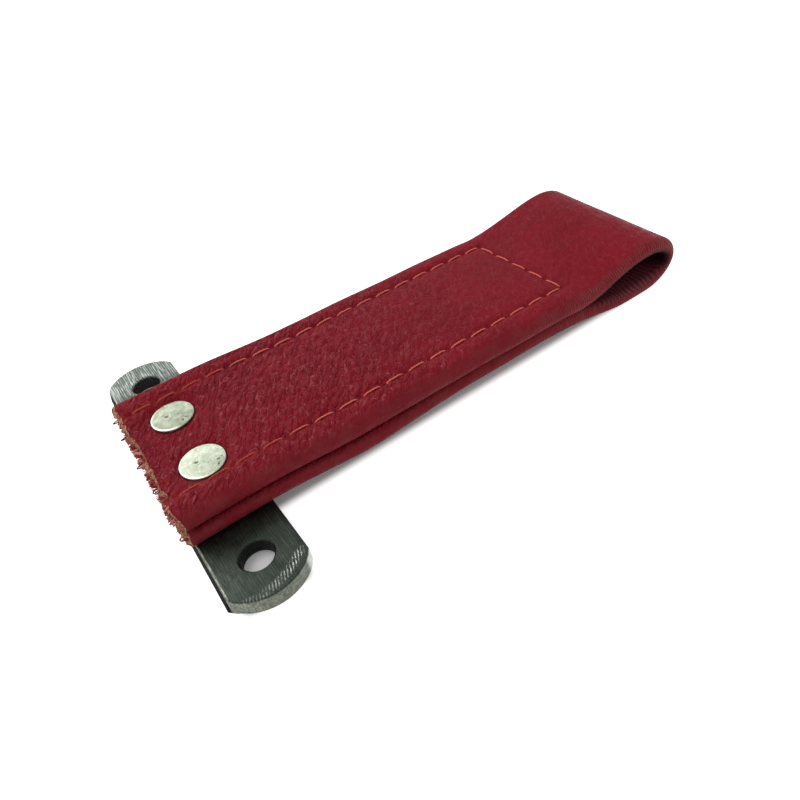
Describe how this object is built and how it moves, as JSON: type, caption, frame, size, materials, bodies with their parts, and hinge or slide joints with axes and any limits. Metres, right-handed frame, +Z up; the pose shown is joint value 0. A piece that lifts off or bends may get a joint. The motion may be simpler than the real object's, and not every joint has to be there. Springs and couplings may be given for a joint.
{
  "type": "leather strap pull",
  "caption": "Folded leather strap pull with an open finger loop, riveted to a flat steel plate with a screw hole at each end.",
  "frame": {"origin": "middle of the mounting plate's underside", "axes": "+X along the strap from the cut end to the loop, +Y along the plate, +Z up from the plate's underside through the strap"},
  "size_m": [0.1075, 0.0656, 0.0109],
  "materials": {
    "plate_steel": "dark oiled steel with fine drawn lines",
    "leather": "pebbled crimson leather, semi-matte",
    "webbing": "matte fibrous webbing",
    "rivet_zinc": "zinc-plated, slightly mottled",
    "thread": "twisted coral thread"
  },
  "bodies": {
    "root": {"mounting_plate": "plate_steel", "leather_cover": "leather", "core_webbing": "webbing", "rivet_near": "rivet_zinc", "rivet_far": "rivet_zinc", "top_thread": "thread", "bottom_thread": "thread"}
  },
  "joints": []
}
